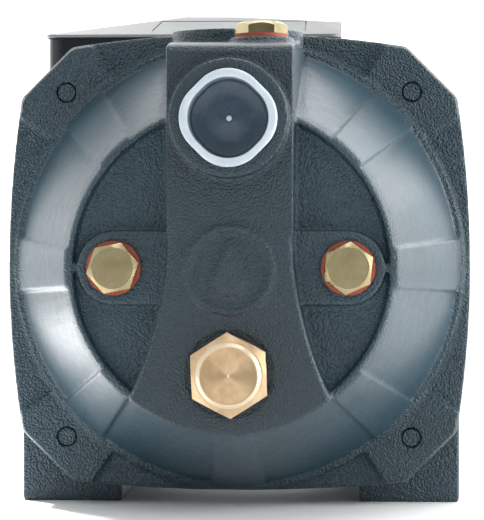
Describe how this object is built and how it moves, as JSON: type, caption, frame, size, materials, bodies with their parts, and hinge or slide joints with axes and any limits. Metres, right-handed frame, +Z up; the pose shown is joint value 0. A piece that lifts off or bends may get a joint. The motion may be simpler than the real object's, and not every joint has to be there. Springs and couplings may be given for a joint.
{
  "type": "shallow well jet pump",
  "caption": "Self-priming jet pump: a cast casing with ribbed cone, threaded suction and discharge ports and brass plugs, on a finned electric motor with feet and a terminal box.",
  "frame": {"origin": "on the base plane, midway between the two foot bolts", "axes": "+Z up along the discharge port, -Y to the pump end, along the shaft and out of the suction port, +X to the right seen from the pump end"},
  "size_m": [0.1912, 0.3542, 0.2122],
  "materials": {
    "aluminium": "die cast",
    "block_plastic": "moulded terminal block",
    "box_plastic": "glossy moulded dark plastic",
    "brass": "turned and lightly oxidised",
    "cage_plastic": "moulded polyamide",
    "cap_plastic": "pale translucent polyethylene",
    "capacitor_plastic": "moulded capacitor can",
    "carbon": "carbon face in a rubber bellows",
    "cast_paint": "semi-gloss dark slate paint over a sand-cast surface",
    "ceramic": "lapped ceramic",
    "copper": "enamelled copper wire, varnished",
    "cover_paint": "semi-gloss dark slate paint on pressed steel",
    "fan_plastic": "moulded black plastic",
    "fibre": "red vulcanised fibre",
    "label_white": "blank printed foil",
    "lamination": "stacked electrical steel sheets",
    "lid_grey": "satin light grey moulding",
    "motor_paint": "semi-gloss dark slate paint on cast aluminium",
    "noryl": "glass-filled moulding",
    "rubber": "moulded nitrile rubber",
    "stainless": "turned stainless steel",
    "steel": "ground bearing steel",
    "zinc_steel": "zinc plated"
  },
  "bodies": {
    "pump": {"box_screws": "zinc_steel", "cable_gland": "box_plastic", "capacitor_clamp": "zinc_steel", "casing_bolt_washers": "cast_paint", "casing_bolts": "cast_paint", "casing_gasket": "rubber", "diffuser": "noryl", "earth_screw": "brass", "ejector_nozzle": "brass", "fan_cover": "cover_paint", "fan_cover_screws": "zinc_steel", "front_bearing_outer_ring": "steel", "gland_nut": "box_plastic", "label_plate": "label_white", "lid_screws": "zinc_steel", "motor_bracket": "cast_paint", "motor_housing": "motor_paint", "pump_casing": "cast_paint", "rear_bearing_outer_ring": "steel", "rear_end_shield": "motor_paint", "run_capacitor": "capacitor_plastic", "seal_plate": "stainless", "seal_seat": "ceramic", "seal_seat_boot": "rubber", "stator_core": "lamination", "stator_windings": "copper", "terminal_block": "block_plastic", "terminal_box_base": "box_plastic", "terminal_box_gasket": "rubber", "terminal_box_lid": "lid_grey", "tie_rods": "zinc_steel", "venturi_o_rings": "rubber", "venturi_tube": "noryl", "wave_spring": "steel"},
    "rotor": {"motor_shaft": "stainless", "impeller": "noryl", "impeller_nut": "steel", "seal_rotary_head": "carbon", "seal_spring": "stainless", "water_slinger": "rubber", "rotor_core": "lamination", "rotor_end_rings": "aluminium", "cooling_fan": "fan_plastic", "front_bearing_inner_ring": "steel", "rear_bearing_inner_ring": "steel"},
    "front_ball_set": {"front_bearing_balls": "steel", "front_bearing_cage": "cage_plastic"},
    "rear_ball_set": {"rear_bearing_balls": "steel", "rear_bearing_cage": "cage_plastic"},
    "suction_cap": {"suction_port_cap": "cap_plastic"},
    "gauge_plug_left_washer_body": {"gauge_plug_left_washer": "fibre"},
    "gauge_plug_left_body": {"gauge_plug_left": "brass"},
    "gauge_plug_right_washer_body": {"gauge_plug_right_washer": "fibre"},
    "gauge_plug_right_body": {"gauge_plug_right": "brass"},
    "priming_plug_washer_body": {"priming_plug_washer": "fibre"},
    "priming_plug_body": {"priming_plug": "brass"},
    "drain_plug_washer_body": {"drain_plug_washer": "fibre"},
    "drain_plug_body": {"drain_plug": "brass"}
  },
  "joints": [
    {"name": "shaft_spin", "type": "hinge", "parent": "pump", "child": "rotor", "pos_m": [0, -0.05, 0.0995], "axis": [0, 1, 0], "continuous": true},
    {"name": "front_balls_spin", "type": "hinge", "parent": "pump", "child": "front_ball_set", "pos_m": [0, -0.05, 0.0995], "axis": [0, 1, 0], "continuous": true},
    {"name": "rear_balls_spin", "type": "hinge", "parent": "pump", "child": "rear_ball_set", "pos_m": [0, -0.05, 0.0995], "axis": [0, 1, 0], "continuous": true},
    {"name": "suction_cap_pull", "type": "slide", "parent": "pump", "child": "suction_cap", "axis": [0, -1, 0], "range_m": [0, 0.04]},
    {"name": "gauge_plug_left_travel", "type": "slide", "parent": "pump", "child": "gauge_plug_left_washer_body", "axis": [0, -1, 0], "range_m": [0, 0.01223]},
    {"name": "gauge_plug_left_unscrew", "type": "hinge", "parent": "gauge_plug_left_washer_body", "child": "gauge_plug_left_body", "pos_m": [-0.0453, -0.1342, 0.0995], "axis": [0, -1, 0], "range_deg": [0, 3240]},
    {"name": "gauge_plug_right_travel", "type": "slide", "parent": "pump", "child": "gauge_plug_right_washer_body", "axis": [0, -1, 0], "range_m": [0, 0.01223]},
    {"name": "gauge_plug_right_unscrew", "type": "hinge", "parent": "gauge_plug_right_washer_body", "child": "gauge_plug_right_body", "pos_m": [0.0453, -0.1342, 0.0995], "axis": [0, -1, 0], "range_deg": [0, 3240]},
    {"name": "priming_plug_travel", "type": "slide", "parent": "pump", "child": "priming_plug_washer_body", "axis": [0, 0, 1], "range_m": [0, 0.01223]},
    {"name": "priming_plug_unscrew", "type": "hinge", "parent": "priming_plug_washer_body", "child": "priming_plug_body", "pos_m": [0.0109, -0.105, 0.1902], "axis": [0, 0, 1], "range_deg": [0, 3240]},
    {"name": "drain_plug_travel", "type": "slide", "parent": "pump", "child": "drain_plug_washer_body", "axis": [0, -1, 0], "range_m": [0, 0.0129]},
    {"name": "drain_plug_unscrew", "type": "hinge", "parent": "drain_plug_washer_body", "child": "drain_plug_body", "pos_m": [0, -0.1435, 0.059], "axis": [0, -1, 0], "range_deg": [0, 2520]}
  ],
  "couplings": [
    {"joint": "front_balls_spin", "follows": "shaft_spin", "ratio": 0.3825},
    {"joint": "rear_balls_spin", "follows": "shaft_spin", "ratio": 0.3825},
    {"joint": "gauge_plug_left_travel", "follows": "gauge_plug_left_unscrew", "m_per_rad": 0.00021279},
    {"joint": "gauge_plug_right_travel", "follows": "gauge_plug_right_unscrew", "m_per_rad": 0.00021279},
    {"joint": "priming_plug_travel", "follows": "priming_plug_unscrew", "m_per_rad": 0.00021279},
    {"joint": "drain_plug_travel", "follows": "drain_plug_unscrew", "m_per_rad": 0.00028871}
  ]
}
